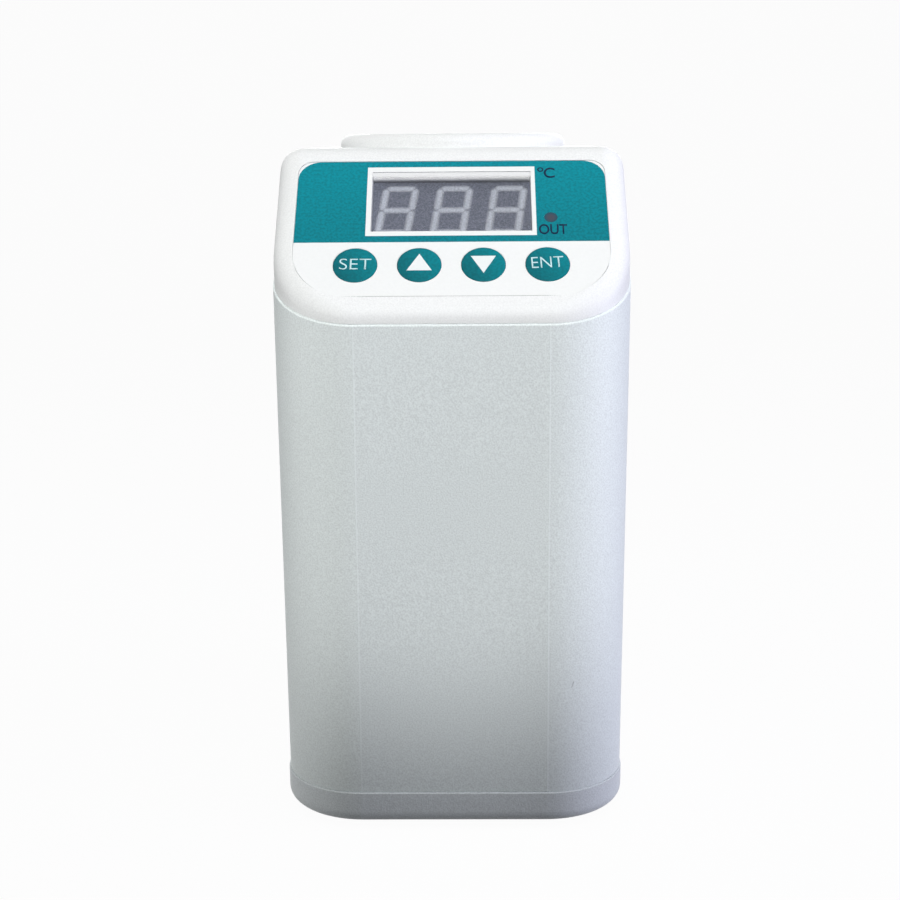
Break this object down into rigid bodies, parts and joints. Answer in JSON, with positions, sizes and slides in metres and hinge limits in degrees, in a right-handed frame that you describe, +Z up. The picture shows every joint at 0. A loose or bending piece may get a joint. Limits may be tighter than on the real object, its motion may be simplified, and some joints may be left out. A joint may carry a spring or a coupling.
{
  "type": "gel bottle warmer",
  "caption": "Tall rounded white case that warms one gel bottle in a round top well, with a slanted panel of display, lamp and keys, and a rear power switch.",
  "frame": {"origin": "on the standing surface, under the middle of the case", "axes": "+Z up, the panel faces -Y, +X to the right of someone who looks at the panel"},
  "size_m": [0.1282, 0.1549, 0.2485],
  "materials": {
    "shell_white": "fine matt grain",
    "cover_white": "smooth satin",
    "overlay_film": "matt printed film, teal over white",
    "key_teal": "matt",
    "window_clear": "matt clear sheet",
    "display_grey": "matt grey",
    "segment_grey": "translucent light grey, unlit",
    "lamp_tint": "tinted, unlit",
    "lamp_red": "translucent red, unlit",
    "aluminium": "satin",
    "steel": "zinc plated",
    "brass": "nickel over brass",
    "rubber_grey": "matt",
    "silicone_red": "silicone",
    "silicone_white": "silicone",
    "foam_grey": "closed foam",
    "strap_black": "woven tape",
    "board_green": "solder mask",
    "black_plastic": "moulded",
    "wire_black": "insulation",
    "wire_red": "insulation"
  },
  "bodies": {
    "case": {"body_shell": "shell_white", "top_cover": "cover_white", "base_cover": "shell_white", "rubber_feet": "rubber_grey", "base_screws": "steel", "cover_screws": "steel", "panel_overlay": "overlay_film", "display_window": "window_clear", "lamp_lens": "lamp_tint", "output_lamp": "lamp_red", "led_display": "display_grey", "display_digits": "segment_grey", "display_board": "board_green", "display_board_screws": "steel", "display_board_chips": "black_plastic", "key_switches": "black_plastic", "well_liner": "aluminium", "well_gasket": "silicone_white", "bottle_pad": "silicone_white", "well_seat": "black_plastic", "heater_mat": "silicone_red", "insulation_sleeve": "foam_grey", "sleeve_straps": "strap_black", "temperature_sensor": "aluminium", "thermal_cutout": "black_plastic", "power_board": "board_green", "power_board_screws": "steel", "terminal_block": "board_green", "heater_relay": "black_plastic", "power_board_parts": "black_plastic", "dc_jack": "black_plastic", "jack_pin": "brass", "jack_nut": "brass", "inlet_terminals": "brass", "switch_body": "black_plastic", "supply_leads": "wire_black", "heater_leads": "wire_red", "sensor_leads": "wire_black", "display_harness": "wire_black"},
    "power_rocker": {"power_rocker": "black_plastic"},
    "set_key": {"set_button": "key_teal", "set_plunger": "black_plastic"},
    "up_key": {"up_button": "key_teal", "up_plunger": "black_plastic"},
    "down_key": {"down_button": "key_teal", "down_plunger": "black_plastic"},
    "enter_key": {"enter_button": "key_teal", "enter_plunger": "black_plastic"}
  },
  "joints": [
    {"name": "set_press", "type": "slide", "parent": "case", "child": "set_key", "axis": [0, 0.7071, -0.7071], "range_m": [0, 0.0005], "stiffness_N_per_m": 1200, "springref_m": -0.0008},
    {"name": "up_press", "type": "slide", "parent": "case", "child": "up_key", "axis": [0, 0.7071, -0.7071], "range_m": [0, 0.0005], "stiffness_N_per_m": 1200, "springref_m": -0.0008},
    {"name": "down_press", "type": "slide", "parent": "case", "child": "down_key", "axis": [0, 0.7071, -0.7071], "range_m": [0, 0.0005], "stiffness_N_per_m": 1200, "springref_m": -0.0008},
    {"name": "enter_press", "type": "slide", "parent": "case", "child": "enter_key", "axis": [0, 0.7071, -0.7071], "range_m": [0, 0.0005], "stiffness_N_per_m": 1200, "springref_m": -0.0008},
    {"name": "rocker_tilt", "type": "hinge", "parent": "case", "child": "power_rocker", "pos_m": [0.012, 0.0708, 0.04], "axis": [1, 0, 0], "range_deg": [0, 22]}
  ]
}
